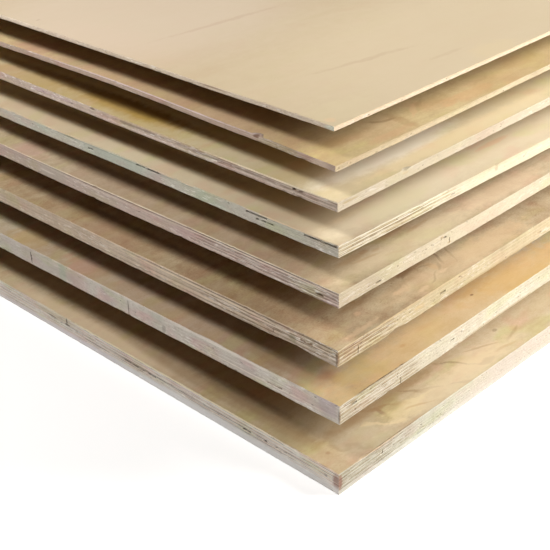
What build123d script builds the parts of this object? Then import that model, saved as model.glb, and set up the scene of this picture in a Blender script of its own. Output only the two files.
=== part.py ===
from build123d import *

import os
from dataclasses import dataclass
from math import cos, radians, sin

# Sizes in millimetres, angles in degrees
# Every sheet is one full size, and the grain of its faces runs along its length.
sheet_length = 2440.0
sheet_width = 1220.0

# A saw tears end grain back a little further than long grain, so the veneers, which
# cross each other by turns, show on every edge as shallow steps.
end_grain_tear = 0.4

# A core gap is a place where one inner veneer is missing. It is as high as that
# veneer, less the glue left on both of its faces.
core_gap_depth = 12.0
glue_left = 0.1

# A split is an open crack in an edge.
split_width = 0.9
split_depth = 3.0

# Stickers are the sawn battens that lie across each sheet and carry the next one.
sticker_count = 5
sticker_width = 50.0
sticker_setback = 120.0
sticker_arris = 2.0

# How far a cut reaches past the face that it opens.
overcut = 2.0


@dataclass
class CoreGap:
    """A stretch of one inner veneer missing at an edge, from start, for length."""

    edge: str
    start: float
    length: float
    ply: int


@dataclass
class Chip:
    """A scoop broken out of an arris, highest at peak and reaching depth inwards."""

    edge: str
    arris: str
    start: float
    peak: float
    end: float
    height: float
    depth: float


@dataclass
class Split:
    """A crack that runs up an edge from low to high."""

    edge: str
    at: float
    low: float
    high: float


@dataclass
class Sheet:
    """One sheet: its plies, the stickers under it, how it has slid, and its damage.

    The near corner is the one at low X and low Y. slid_x and slid_y move it along and
    across the stack, and skew turns the sheet about it. The end edge runs from that
    corner across the sheet, and the side edge runs from it along the sheet.
    """

    name: str
    thickness: float
    plies: int
    sticker_height: float
    slid_x: float
    slid_y: float
    skew: float
    damage: tuple = ()


# The stack from the floor up
sheets = [
    Sheet(
        "sheet_25mm", thickness=25.0, plies=13, sticker_height=0.0,
        slid_x=0.8, slid_y=-0.8, skew=-0.24,
        damage=(
            CoreGap("end", start=68.0, length=32.0, ply=7),
            CoreGap("end", start=112.0, length=19.0, ply=7),
            CoreGap("end", start=266.0, length=68.0, ply=8),
            CoreGap("side", start=120.0, length=26.0, ply=4),
            Chip("side", "top", start=28.0, peak=34.0, end=46.0, height=1.6, depth=3.0),
            Split("side", at=65.0, low=13.5, high=17.5),
            Split("end", at=424.0, low=17.3, high=24.0),
        ),
    ),
    Sheet(
        "sheet_21mm", thickness=21.0, plies=11, sticker_height=58.0,
        slid_x=1.2, slid_y=-1.3, skew=0.63,
        damage=(
            CoreGap("end", start=43.0, length=20.0, ply=4),
            CoreGap("end", start=72.0, length=28.0, ply=4),
            CoreGap("side", start=18.0, length=7.0, ply=8),
            CoreGap("side", start=172.0, length=6.0, ply=6),
            Chip("side", "bottom", start=68.0, peak=71.0, end=79.0, height=1.5, depth=4.0),
            Chip("end", "top", start=150.0, peak=176.0, end=192.0, height=1.8, depth=5.0),
            Split("side", at=91.0, low=0.0, high=7.6),
            Split("end", at=298.0, low=3.0, high=18.0),
            Split("end", at=470.0, low=2.0, high=17.0),
        ),
    ),
    Sheet(
        "sheet_18mm", thickness=18.0, plies=9, sticker_height=44.0,
        slid_x=0.1, slid_y=-0.1, skew=0.52,
        damage=(
            CoreGap("end", start=30.0, length=16.0, ply=6),
            CoreGap("side", start=120.0, length=12.0, ply=4),
            CoreGap("side", start=152.0, length=9.0, ply=5),
            Chip("end", "bottom", start=28.0, peak=50.0, end=86.0, height=2.4, depth=7.0),
            Chip("side", "bottom", start=70.0, peak=84.0, end=101.0, height=2.8, depth=8.0),
            Split("side", at=28.5, low=2.0, high=10.5),
            Split("end", at=80.0, low=4.0, high=7.6),
        ),
    ),
    Sheet(
        "sheet_15mm", thickness=15.0, plies=9, sticker_height=43.0,
        slid_x=0.7, slid_y=-0.8, skew=0.16,
        damage=(
            CoreGap("end", start=18.0, length=14.0, ply=4),
            CoreGap("side", start=50.0, length=8.0, ply=3),
            CoreGap("side", start=146.0, length=9.0, ply=7),
            Split("side", at=160.0, low=2.0, high=8.0),
        ),
    ),
    Sheet(
        "sheet_12mm", thickness=12.0, plies=7, sticker_height=34.0,
        slid_x=0.5, slid_y=-0.6, skew=-0.38,
        damage=(
            CoreGap("end", start=2.5, length=38.0, ply=6),
            CoreGap("end", start=86.0, length=27.0, ply=6),
            CoreGap("end", start=76.0, length=24.0, ply=4),
            CoreGap("end", start=232.0, length=36.0, ply=6),
            CoreGap("end", start=336.0, length=9.0, ply=4),
            Chip("side", "top", start=226.0, peak=229.0, end=235.0, height=1.2, depth=3.0),
        ),
    ),
    Sheet(
        "sheet_9mm", thickness=9.0, plies=5, sticker_height=33.0,
        slid_x=0.0, slid_y=0.0, skew=-0.19,
        damage=(
            CoreGap("end", start=28.0, length=24.0, ply=4),
            Chip("side", "top", start=85.0, peak=89.0, end=97.0, height=1.8, depth=4.0),
        ),
    ),
    Sheet(
        "sheet_5_5mm", thickness=5.5, plies=3, sticker_height=30.0,
        slid_x=-1.2, slid_y=1.3, skew=-0.59,
        damage=(
            Chip("end", "top", start=84.0, peak=93.0, end=99.0, height=1.6, depth=6.0),
        ),
    ),
    Sheet(
        "sheet_4mm", thickness=4.0, plies=3, sticker_height=29.0,
        slid_x=-1.9, slid_y=2.2, skew=0.10,
        damage=(
            Chip("end", "top", start=41.5, peak=42.6, end=44.0, height=1.4, depth=2.5),
            Chip("end", "top", start=77.0, peak=79.0, end=80.5, height=1.2, depth=3.0),
        ),
    ),
]


def near_corner_plane(sheet, height):
    """The sheet's own plane at a height: X along it, Y across it, from its near corner."""
    turn = radians(sheet.skew)
    return Plane(
        origin=(sheet.slid_x, sheet.slid_y, height),
        x_dir=(cos(turn), sin(turn), 0),
        z_dir=(0, 0, 1),
    )


def edge_plane(plane, edge):
    """The face of one edge: X runs from the near corner, and Y runs up the edge."""
    if edge == "side":
        return Plane(plane.origin, x_dir=plane.x_dir, z_dir=-plane.y_dir)
    return Plane(plane.origin, x_dir=plane.y_dir, z_dir=plane.x_dir)


def make_chip(chip, plane, thickness):
    """The scoop that a chip takes: its outline on the edge, cut to its outline from above.

    The outline on the edge is a curve that rises from start to its peak and falls to
    end. Seen from above, the scoop is an arc of the chip's depth.
    """
    foot = 0.0
    inwards = 1.0
    if chip.arris == "top":
        foot = thickness
        inwards = -1.0
    with BuildPart() as scoop:
        with BuildSketch(edge_plane(plane, chip.edge)):
            with BuildLine():
                Bezier(
                    (chip.start, foot),
                    (chip.peak, foot + inwards * 2 * chip.height),
                    (chip.end, foot),
                )
                Polyline(
                    (chip.end, foot),
                    (chip.end, foot - inwards * overcut),
                    (chip.start, foot - inwards * overcut),
                    (chip.start, foot),
                )
            make_face()
        extrude(amount=chip.depth, both=True)
        with BuildSketch(plane.offset(foot - chip.height - overcut)):
            if chip.edge == "side":
                middle = ((chip.start + chip.end) / 2, 0)
                turn = 0
            else:
                middle = (0, (chip.start + chip.end) / 2)
                turn = 90
            with Locations(middle):
                Ellipse((chip.end - chip.start) / 2 + overcut, chip.depth, rotation=turn)
        extrude(amount=2 * (chip.height + overcut), mode=Mode.INTERSECT)
    return scoop.part


def make_sheet(sheet, plane):
    """One sheet as one solid: its veneers pressed together, less its damage.

    Veneers 1, 3, 5 and so on have their grain along the sheet, so their end grain is
    at the two ends. The others lie across it, and their end grain is at the two sides.
    """
    veneer = sheet.thickness / sheet.plies
    with BuildPart() as board:
        for ply in range(1, sheet.plies + 1):
            torn_ends = 0.0
            torn_sides = end_grain_tear
            if ply % 2 == 1:
                torn_ends = end_grain_tear
                torn_sides = 0.0
            with BuildSketch(plane.offset((ply - 1) * veneer)):
                with Locations((sheet_length / 2, sheet_width / 2)):
                    Rectangle(sheet_length - 2 * torn_ends, sheet_width - 2 * torn_sides)
            extrude(amount=veneer)

        for gap in [flaw for flaw in sheet.damage if isinstance(flaw, CoreGap)]:
            with BuildSketch(edge_plane(plane, gap.edge)):
                with Locations((gap.start + gap.length / 2, (gap.ply - 0.5) * veneer)):
                    SlotOverall(gap.length, veneer - 2 * glue_left)
            extrude(amount=core_gap_depth, both=True, mode=Mode.SUBTRACT)

        for split in [flaw for flaw in sheet.damage if isinstance(flaw, Split)]:
            with BuildSketch(edge_plane(plane, split.edge)):
                with Locations((split.at, (split.low + split.high) / 2)):
                    Rectangle(split_width, split.high - split.low)
            extrude(amount=split_depth, both=True, mode=Mode.SUBTRACT)

        for chip in [flaw for flaw in sheet.damage if isinstance(flaw, Chip)]:
            add(make_chip(chip, plane, sheet.thickness), mode=Mode.SUBTRACT)
    board.part.label = sheet.name
    return board.part


def make_sticker(name, plane, height):
    """One batten with eased arrises, lying across the stack and centred on the plane."""
    with BuildPart() as batten:
        with BuildSketch(Plane(plane.origin, x_dir=(1, 0, 0), z_dir=(0, -1, 0))) as section:
            with Locations((0, height / 2)):
                Rectangle(sticker_width, height)
            chamfer(section.vertices(), sticker_arris)
        extrude(amount=sheet_width / 2 - sticker_setback, both=True)
    batten.part.label = name
    return batten.part


def corners_in_plan(sheet):
    """The four corners of a sheet, seen from above."""
    plane = near_corner_plane(sheet, 0)
    return [
        plane.from_local_coords((x, y, 0))
        for x in (0, sheet_length)
        for y in (0, sheet_width)
    ]


# The origin is on the floor, under the middle of the box round the whole stack.
corners = [corner for sheet in sheets for corner in corners_in_plan(sheet)]
middle_x = (min(c.X for c in corners) + max(c.X for c in corners)) / 2
middle_y = (min(c.Y for c in corners) + max(c.Y for c in corners)) / 2

# The outer stickers stand in from the sheets' ends, and the rest are spaced evenly.
sticker_pitch = (sheet_length - 2 * sticker_setback - sticker_width) / (sticker_count - 1)

os.makedirs("parts", exist_ok=True)
level = 0.0
for sheet in sheets:
    if sheet.sticker_height > 0:
        for number in range(sticker_count):
            across = number * sticker_pitch + sticker_setback + sticker_width / 2
            spot = Plane(origin=(across - middle_x, sheet_width / 2 - middle_y, level))
            name = f"sticker_{number + 1}_under_{sheet.name.removeprefix('sheet_')}"
            export_step(make_sticker(name, spot, sheet.sticker_height), f"parts/{name}.step")
    level += sheet.sticker_height
    corner = near_corner_plane(sheet, level)
    corner.origin -= (middle_x, middle_y, 0)
    export_step(make_sheet(sheet, corner), f"parts/{sheet.name}.step")
    level += sheet.thickness
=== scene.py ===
from math import cos, radians, sin

import bpy
import numpy as np
from mathutils import Matrix, Vector


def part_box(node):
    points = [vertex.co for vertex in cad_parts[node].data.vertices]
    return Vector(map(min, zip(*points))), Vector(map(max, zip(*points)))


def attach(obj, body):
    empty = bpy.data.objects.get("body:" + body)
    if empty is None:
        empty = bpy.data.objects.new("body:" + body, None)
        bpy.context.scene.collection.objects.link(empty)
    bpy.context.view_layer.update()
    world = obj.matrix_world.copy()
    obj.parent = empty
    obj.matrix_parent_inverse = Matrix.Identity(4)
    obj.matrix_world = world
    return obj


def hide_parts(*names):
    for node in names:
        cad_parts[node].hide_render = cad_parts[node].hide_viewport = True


# Metres and degrees throughout, but for the spots on the sheets, which are in millimetres. The
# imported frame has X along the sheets, Y across them and Z up.
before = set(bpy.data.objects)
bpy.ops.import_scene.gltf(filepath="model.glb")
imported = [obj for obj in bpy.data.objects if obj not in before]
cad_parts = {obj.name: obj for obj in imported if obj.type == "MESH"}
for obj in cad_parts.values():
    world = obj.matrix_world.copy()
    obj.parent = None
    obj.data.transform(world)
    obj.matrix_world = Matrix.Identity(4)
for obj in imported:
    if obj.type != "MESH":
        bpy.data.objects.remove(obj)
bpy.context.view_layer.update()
print("packed frame loaded,", len(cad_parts), "nodes")

# Each sheet turns about its near corner, the one at low X and low Y. Its side edge runs from
# there along X, and its end edge along Y. Plies are counted from the bottom.
#   coreGaps: edge, start, length, ply, shade   chips: edge, arris, start, peak, end, height, depth
#   splits: edge, place, low, high              lifts: edge, middle, half length, height
# Colours are sRGB. faceTones are the veneer, its dark grain and its patches, and the two edge
# tones are the plies with long grain and those with end grain. Lines are how strong the plies
# show and how far along. A spot is its middle and half sizes in millimetres, its colour, amount
# and raggedness, and a slanting one ends with its turn; on the end edge its first value counts
# back from the near corner. Some spots paint light or shade, as the comments above them say. A
# flame is the X of its apex, its rings a metre along and across, then its place, half sizes and
# strength, and a knot its place and size. cornerGrime is how much painted shade greys the sheet
# toward the near corner, and figure, streaks, patches, flecks and drift are how strong each
# pattern shows.
sheets = {}
sheets["sheet_25mm"] = {
    "plies": 13, "skew": -0.24, "seed": 25, "slot": "plywood_25mm",
    "coreGaps": [
        ("end", 0.068, 0.032, 8, 0.6), ("end", 0.112, 0.019, 8, 0.5), ("end", 0.266, 0.068, 8, 0.6),
        ("side", 0.12, 0.026, 4, 0.5),
    ],
    "chips": [("side", "top", 0.028, 0.034, 0.046, 0.0016, 0.003)],
    "splits": [("side", 0.065, 0.0135, 0.0175), ("end", 0.424, 0.0173, 0.024)],
    "faceTones": [(226, 208, 174), (190, 159, 114), (226, 209, 167)],
    "sideTones": [(211, 207, 187), (176, 164, 137)],
    "endTones": [(241, 232, 223), (234, 208, 186)],
    "figure": 0.1, "figureScale": 1.0, "streaks": 0.55, "patches": 0.5, "flecks": 0.25, "drift": 0.85,
    "flame": (0.285, 13.0, 30.0, 0.21, 0.028, 0.17, 0.045, 0.35),
    "faceSpots": [
        (18, 30, 4, 3, (150, 112, 80), 0.5, 0.6), (104, 36, 4, 10, (150, 104, 84), 0.45, 0.9),
        (310, 41, 4, 3, (150, 120, 84), 0.5, 0.6), (125, 20, 40, 16, (236, 214, 156), 0.45, 0.9),
        (250, 22, 60, 24, (236, 206, 166), 0.4, 0.9), (12, 70, 22, 36, (150, 132, 84), 0.4, 0.5),
        (10, 330, 30, 220, (176, 138, 118), 0.3, 0.7), (164, 30, 32, 3.5, (146, 110, 70), 0.38, 1.3, -35),
        (198, 8, 22, 3, (146, 110, 70), 0.32, 1.3, -25), (222, 31, 24, 4.1, (140, 104, 66), 0.41, 1.3, -40),
        (252, 14, 24, 3, (146, 110, 70), 0.34, 1.3, -25), (320, 23, 26, 2.7, (166, 132, 90), 0.36, 1.3, 14),
        # The second spot below is painted shade under the sheet above, along the side edge.
        (40, 20, 32, 3.8, (150, 118, 76), 0.36, 1.3, -38), (120, 48, 120, 12, (158, 120, 72), 0.4, 0.7),
        # The first spot below is painted shade under the sheet above, along the end edge.
        (27, 140, 14, 110, (124, 96, 66), 0.5, 0.3), (6, 390, 14, 180, (252, 228, 190), 0.5, 0.3),
        (75, 0, 62, 1.6, (96, 74, 50), 0.8, 1.3), (210, 14, 150, 20, (252, 232, 192), 0.45, 0.5),
        # Below, the first spot is painted shade next to the shade under the sheet above, and the second is
        # painted light on the shaded face near the corner.
        (17, 170, 11, 190, (150, 120, 84), 0.4, 0.3), (62, 18, 45, 26, (248, 236, 206), 0.2, 0.5),
        (110, 40, 30, 4, (166, 126, 78), 0.35, 1.1, -30), (140, 16, 26, 3, (196, 156, 104), 0.35, 1.1, -20),
        (270, 34, 30, 3.4, (170, 130, 82), 0.35, 1.1, -30), (290, 12, 24, 3, (200, 162, 110), 0.3, 1.1, -10),
        (90, 24, 30, 3, (242, 218, 172), 0.4, 1.1, -35),
    ],
    "sideLines": (1.0, 0.1), "endLines": (1.6, 0.5),
    "sideSpots": [
        (2, 14, 4, 12, (140, 100, 84), 0.8, 0.5), (60, 24.5, 55, 0.9, (196, 160, 116), 0.6, 0.8),
        (128, 10.5, 6, 0.9, (140, 118, 88), 0.7, 0.8), (155, 10.5, 6, 0.9, (140, 118, 88), 0.6, 0.8),
        # The first spot below is a painted reflection of the bright floor along the bottom of the edge.
        (150, 0, 300, 8, (240, 238, 230), 0.4, 0.3), (330, 12.5, 190, 40, (212, 194, 178), 0.65, 0.4),
    ],
    "endSpots": [
        (-250, 12.5, 500, 30, (255, 250, 240), 0.3, 0.2), (-3, 14, 6, 13, (150, 108, 94), 0.75, 0.5),
        # The first spot below is a painted reflection of the bright floor along the bottom of the edge.
        (-300, 0, 400, 10, (246, 240, 240), 0.85, 0.25), (-260, 24.1, 290, 1.1, (255, 242, 206), 1, 0.6),
        (-300, 15.5, 36, 3, (132, 104, 78), 0.25, 0.6), (-450, 20, 60, 5, (206, 186, 140), 0.4, 0.6),
        (-310.5, 14.7, 26, 1, (70, 50, 36), 0.25, 0.7), (-424, 20.5, 1.2, 4.5, (96, 76, 58), 0.85, 0.4),
        (-424, 16.5, 6, 1.6, (96, 76, 58), 0.7, 0.6), (-130, 10.8, 80, 0.9, (104, 78, 60), 0.4, 0.9),
        (-370, 11.5, 30, 0.9, (124, 98, 80), 0.6, 0.9), (-455, 17, 14, 1.2, (124, 98, 80), 0.6, 0.9),
        (-210, 15.4, 290, 1.1, (112, 88, 68), 0.3, 1), (-100, 21.5, 130, 1.2, (255, 248, 230), 0.6, 0.9),
        (-60, 12.7, 80, 1, (255, 246, 230), 0.6, 0.9), (-90, 19, 110, 0.8, (150, 122, 98), 0.2, 0.9),
        # The first spot below is a painted reflection of the bright floor along the bottom of the edge.
        (-150, 4.5, 220, 7.5, (255, 252, 248), 0.8, 0.3), (-260, 18.2, 200, 1, (255, 246, 232), 0.4, 0.9),
    ],
    "cornerGrime": 1.15,
}
sheets["sheet_21mm"] = {
    "plies": 11, "skew": 0.63, "seed": 21, "slot": "plywood_21mm",
    "coreGaps": [
        ("end", 0.043, 0.02, 4, 0.2), ("end", 0.072, 0.028, 4, 0.28),
        ("side", 0.018, 0.007, 8, 0.5), ("side", 0.172, 0.006, 6, 0.5),
    ],
    "chips": [
        ("side", "bottom", 0.068, 0.071, 0.079, 0.0015, 0.004),
        ("end", "top", 0.15, 0.176, 0.192, 0.0009, 0.002),
    ],
    "splits": [("side", 0.091, 0.0, 0.0076), ("end", 0.298, 0.003, 0.018), ("end", 0.47, 0.002, 0.017)],
    "faceTones": [(221, 209, 182), (176, 150, 109), (227, 208, 159)],
    "sideTones": [(216, 206, 182), (189, 169, 138)],
    "endTones": [(226, 217, 205), (201, 186, 170)],
    "figure": 0.1, "figureScale": 1.2, "streaks": 0.6, "patches": 0.6, "flecks": 0.35, "drift": 0.95,
    "faceSpots": [
        (200, 0, 280, 75, (238, 196, 128), 0.45, 0.5), (330, 22, 110, 36, (222, 176, 100), 0.4, 0.8),
        (250, 40, 60, 16, (196, 150, 92), 0.35, 0.8), (50, 26, 30, 18, (190, 168, 108), 0.4, 0.8),
        (245, 27, 3, 2, (126, 74, 46), 0.7, 0.6), (120, 21, 5, 3, (198, 148, 96), 0.4, 0.6),
        (30, 44, 14, 10, (168, 110, 76), 0.36, 0.7), (10, 280, 30, 300, (176, 128, 104), 0.35, 0.7),
        (15, 390, 22, 34, (214, 152, 130), 0.3, 0.8), (15, 490, 26, 40, (206, 172, 112), 0.4, 0.7),
        # The second spot below is painted shade next to the shade under the sheet above, along the end edge.
        (62, 0, 55, 1.9, (84, 66, 44), 0.95, 1.3), (17, 80, 11, 70, (150, 118, 86), 0.4, 0.3),
        (10, 10, 18, 18, (146, 128, 98), 0.3, 0.5),
    ],
    "sideLines": (1.0, 0.105), "endLines": (0.35, 0.24),
    "sideSpots": [
        (0.6, 9, 1.2, 9, (96, 76, 60), 0.6, 0.6), (62, 20.6, 55, 1, (120, 94, 66), 0.5, 1.2),
        (20, 16.5, 5, 2.2, (150, 126, 92), 0.6, 0.6), (112, 12.5, 9, 0.9, (130, 106, 76), 0.6, 0.8),
        (260, 1, 110, 1.8, (176, 150, 110), 0.6, 0.9),
    ],
    "endSpots": [
        (-470, 10, 110, 30, (196, 184, 172), 0.4, 0.3), (-0.6, 9, 1.2, 9, (96, 76, 60), 0.6, 0.6),
        (-15, 14, 16, 22, (176, 150, 164), 0.4, 0.9), (-120, 13, 16, 22, (186, 160, 164), 0.2, 0.9),
        (-385, 14, 24, 30, (206, 158, 154), 0.3, 0.9), (-412, 12, 9, 26, (166, 184, 156), 0.35, 0.9),
        (-250, 13, 14, 24, (176, 186, 164), 0.2, 0.9), (-330, 13, 20, 24, (190, 166, 164), 0.2, 0.9),
        (-470, 13, 22, 24, (198, 168, 160), 0.2, 0.9), (-242, 6, 4, 5, (130, 110, 92), 0.4, 0.8),
        (-215, 18.5, 20, 1.6, (232, 220, 206), 0.6, 0.9), (-180, 11, 12, 1.6, (226, 214, 198), 0.6, 1),
        (-250, 20.4, 260, 0.8, (240, 226, 212), 0.6, 1), (-430, 16, 20, 3, (226, 212, 202), 0.5, 1),
        (-470, 9.5, 1.3, 8.5, (80, 60, 44), 0.7, 0.4), (-298, 10.5, 1, 8, (124, 100, 80), 0.5, 0.4),
        (-140, 19.4, 90, 1.5, (250, 240, 226), 0.6, 0.6), (-100, 6, 110, 1.1, (250, 238, 224), 0.6, 0.8),
    ],
    "cornerGrime": 1.15,
    "lifts": [("side", 0.15, 0.13, -0.0007)],
}
sheets["sheet_18mm"] = {
    "plies": 9, "skew": 0.52, "seed": 18, "slot": "plywood_18mm",
    "coreGaps": [
        ("end", 0.03, 0.016, 6, 0.15), ("side", 0.12, 0.012, 4, 0.4), ("side", 0.152, 0.009, 5, 0.4),
    ],
    "chips": [
        ("end", "bottom", 0.028, 0.05, 0.086, 0.0024, 0.007),
        ("side", "bottom", 0.07, 0.084, 0.101, 0.0028, 0.008),
    ],
    "splits": [("side", 0.0285, 0.002, 0.0105), ("end", 0.08, 0.004, 0.0076)],
    "faceTones": [(216, 200, 164), (165, 127, 91), (212, 185, 144)],
    "sideTones": [(206, 188, 151), (167, 141, 104)],
    "endTones": [(222, 202, 180), (159, 140, 120)],
    "figure": 0.1, "figureScale": 1.0, "streaks": 0.75, "patches": 0.5, "flecks": 0.5, "drift": 0.7,
    "knot": (0.187, 0.031, 0.018),
    "flame": (0.118, 15.0, 26.0, 0.165, 0.028, 0.06, 0.032, 0.45),
    "faceSpots": [
        (122, 23, 13, 7, (226, 190, 152), 0.45, 1.4), (138, 10, 12, 4, (236, 206, 170), 0.45, 1.4),
        (178, 16, 10, 4, (236, 206, 170), 0.45, 1.4), (45, 8, 30, 5, (230, 198, 160), 0.4, 1.4),
        (60, 28, 6, 4, (222, 186, 150), 0.4, 1.4), (148, 42, 16, 6, (128, 92, 58), 0.4, 0.8),
        (70, 41, 30, 7, (150, 116, 72), 0.35, 0.8), (160, 15, 16, 1.9, (128, 88, 58), 0.47, 1.1, 22),
        (183, 26, 14, 2.3, (120, 80, 54), 0.53, 1.1, 52), (197, 38, 12, 2.3, (120, 82, 54), 0.51, 1.1, 50),
        (142, 34, 16, 2, (136, 98, 64), 0.42, 1.1, 40), (210, 30, 16, 1.9, (140, 104, 68), 0.38, 1.1, 48),
        (260, 16, 80, 24, (228, 194, 150), 0.4, 0.8), (10, 330, 22, 60, (190, 144, 120), 0.35, 0.8),
        # The second spot below is painted shade under the sheet above, along the end edge.
        (6, 150, 22, 100, (150, 118, 88), 0.3, 0.8), (30, 340, 14, 230, (118, 86, 60), 0.5, 0.3),
        (160, 47, 50, 10, (146, 108, 62), 0.35, 0.7), (178, 30, 6, 9, (206, 168, 118), 0.5, 0.8),
        (172, 36, 12, 1.8, (128, 88, 58), 0.42, 1.1, -20), (200, 18, 140, 26, (244, 218, 174), 0.4, 0.5),
        (6, 360, 24, 200, (176, 142, 108), 0.35, 0.4),
    ],
    "sideLines": (1.1, 0.08), "endLines": (1.1, 0.16),
    "sideSpots": [
        (1, 9, 2, 9, (120, 92, 66), 0.7, 0.5), (120, 9.5, 10, 4, (200, 170, 120), 0.5, 0.7),
        # The second spot below is painted shade along the top arris.
        (240, 1, 100, 1.6, (170, 142, 98), 0.6, 0.9), (120, 17.5, 110, 2.4, (190, 160, 118), 0.45, 0.5),
    ],
    "endSpots": [
        (-1, 9, 2, 9, (120, 92, 66), 0.7, 0.5), (-170, 13.7, 200, 1.2, (250, 230, 200), 0.6, 0.7),
        (-150, 16.1, 190, 0.8, (112, 84, 56), 0.5, 0.7), (-55, 8, 6, 6, (150, 144, 116), 0.5, 0.4),
        (-200, 17.8, 280, 0.7, (244, 222, 192), 0.6, 0.5), (-190, 8.1, 190, 0.9, (142, 116, 92), 0.35, 0.8),
        (-200, 3.3, 280, 0.8, (112, 88, 66), 0.5, 0.7), (-160, 5.5, 160, 1, (244, 222, 192), 0.4, 0.8),
        (-420, 9, 120, 30, (190, 166, 140), 0.3, 0.4),
    ],
    "cornerGrime": 0.85,
    "lifts": [
        ("end", 0.0, 0.3, -0.0005), ("end", 0.5, 0.24, 0.0014),
        ("side", 0.06, 0.12, -0.001), ("side", 0.36, 0.15, 0.0006),
    ],
}
sheets["sheet_15mm"] = {
    "plies": 9, "skew": 0.16, "seed": 15, "slot": "plywood_15mm",
    "coreGaps": [
        ("end", 0.018, 0.014, 4, 0.25), ("side", 0.05, 0.008, 3, 0.5), ("side", 0.146, 0.009, 7, 0.4),
    ],
    "splits": [("side", 0.16, 0.002, 0.008)],
    "faceTones": [(222, 206, 173), (187, 162, 126), (219, 201, 163)],
    "sideTones": [(212, 197, 168), (201, 181, 152)],
    "endTones": [(216, 195, 181), (164, 143, 132)],
    "figure": 0.1, "figureScale": 1.4, "streaks": 0.8, "patches": 0.4, "flecks": 0.2, "drift": 0.85,
    "flame": (0.15, 14.0, 46.0, 0.085, 0.018, 0.05, 0.022, 0.25),
    "faceSpots": [
        (72, 34, 8, 4, (166, 124, 84), 0.45, 0.8), (84, 28, 6, 3, (172, 130, 90), 0.4, 0.8),
        (55, 34, 20, 8, (178, 142, 96), 0.35, 0.8), (92, 12, 30, 3.6, (178, 146, 104), 0.32, 1.9, -15),
        (270, 16, 90, 20, (242, 212, 176), 0.4, 0.7), (8, 250, 26, 260, (174, 140, 124), 0.35, 0.7),
        # The second spot below is painted shade under the sheet above, along the end edge.
        (10, 470, 26, 30, (214, 172, 160), 0.4, 0.8), (28, 340, 14, 230, (124, 96, 74), 0.5, 0.3),
        (120, 14, 140, 20, (246, 228, 190), 0.4, 0.5), (118, 39, 36, 5.4, (166, 126, 80), 0.34, 1.1, 4),
        (150, 30, 30, 3, (178, 138, 92), 0.3, 1.1, 6), (66, 24, 26, 2.7, (176, 136, 90), 0.3, 1.1, -8),
        (0.4, 230, 1.2, 290, (252, 238, 208), 0.4, 0.8),
    ],
    "sideLines": (0.3, 0.06), "endLines": (1.0, 0.17),
    "sideSpots": [
        (148, 12.5, 3, 1.8, (180, 150, 108), 0.7, 0.8), (160, 3, 4, 1.4, (186, 158, 116), 0.6, 0.8),
    ],
    "endSpots": [
        (-390, 7, 170, 30, (186, 166, 154), 0.45, 0.3), (-200, 14.9, 240, 0.8, (255, 244, 214), 0.8, 0.9),
        (-420, 14.9, 140, 0.8, (246, 228, 200), 0.7, 0.8), (-230, 13.8, 290, 0.8, (104, 78, 56), 0.7, 0.8),
        (-215, 7, 40, 20, (190, 160, 158), 0.35, 0.5), (-410, 8, 30, 20, (170, 172, 150), 0.25, 0.5),
        (-420, 7, 20, 1.2, (224, 212, 200), 0.6, 1.2), (-330, 6.6, 14, 1.2, (224, 208, 196), 0.5, 1.2),
        (-110, 12.4, 140, 1, (246, 228, 208), 0.6, 0.7), (-310, 11.2, 130, 1.1, (240, 222, 204), 0.5, 0.7),
    ],
    "cornerGrime": 1.1,
    "lifts": [("end", 0.38, 0.25, -0.0008), ("side", 0.2, 0.15, -0.0008)],
}
sheets["sheet_12mm"] = {
    "plies": 7, "skew": -0.38, "seed": 12, "slot": "plywood_12mm",
    "coreGaps": [
        ("end", 0.0025, 0.038, 6, 0.65), ("end", 0.086, 0.027, 6, 0.75), ("end", 0.076, 0.024, 4, 0.8),
        ("end", 0.232, 0.036, 6, 0.7), ("end", 0.336, 0.009, 4, 0.7),
    ],
    "chips": [("side", "top", 0.226, 0.229, 0.235, 0.0012, 0.003)],
    "faceTones": [(230, 216, 184), (219, 195, 160), (230, 212, 182)],
    "sideTones": [(233, 222, 194), (199, 180, 142)],
    "endTones": [(206, 200, 184), (189, 182, 167)],
    "figure": 0.06, "figureScale": 1.4, "streaks": 0.4, "patches": 0.3, "flecks": 0.1, "drift": 0.65,
    "faceSpots": [
        (270, 34, 34, 5, (230, 178, 132), 0.4, 0.5), (60, 34, 40, 6, (204, 176, 132), 0.4, 0.5),
        # The first spot below is painted shade under the sheet above, along the end edge.
        (34, 330, 14, 220, (126, 92, 70), 0.5, 0.3), (110, 20, 140, 26, (246, 234, 204), 0.4, 0.5),
        (8, 430, 30, 120, (206, 180, 146), 0.4, 0.4),
    ],
    "sideLines": (1.3, 0.14), "endLines": (0.5, 0.1),
    "sideSpots": [
        (229, 8.5, 4, 3.5, (150, 120, 78), 0.7, 0.8), (205, 7, 10, 4, (226, 204, 166), 0.5, 0.7),
        (70, 6.2, 70, 0.7, (110, 88, 60), 0.6, 0.7), (270, 6, 120, 30, (220, 204, 172), 0.5, 0.4),
        # The spot below is painted shade along the top arris.
        (240, 12, 120, 3, (206, 184, 146), 0.5, 0.4),
    ],
    "endSpots": [
        (-60, 11.6, 70, 0.8, (236, 208, 168), 0.7, 0.9), (-350, 11.4, 260, 1, (232, 202, 160), 0.7, 0.9),
        (-300, 9.8, 180, 0.7, (112, 104, 84), 0.4, 1.3), (-240, 9.8, 14, 1.2, (90, 76, 60), 0.6, 0.9),
        (-375, 10, 12, 1.2, (120, 118, 92), 0.5, 0.9), (-160, 5, 30, 20, (170, 190, 166), 0.25, 0.6),
        (-240, 5, 20, 20, (190, 168, 164), 0.3, 0.6), (-110, 5, 16, 20, (190, 172, 168), 0.25, 0.6),
        (-430, 5, 20, 20, (172, 190, 166), 0.25, 0.6), (-300, 6, 70, 20, (164, 188, 172), 0.3, 0.5),
    ],
    "cornerGrime": 1.0,
    "lifts": [
        ("end", 0.0, 0.2, 0.0004), ("end", 0.52, 0.3, -0.0024),
        ("side", 0.0, 0.11, 0.0009), ("side", 0.34, 0.22, -0.0024),
    ],
}
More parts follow.
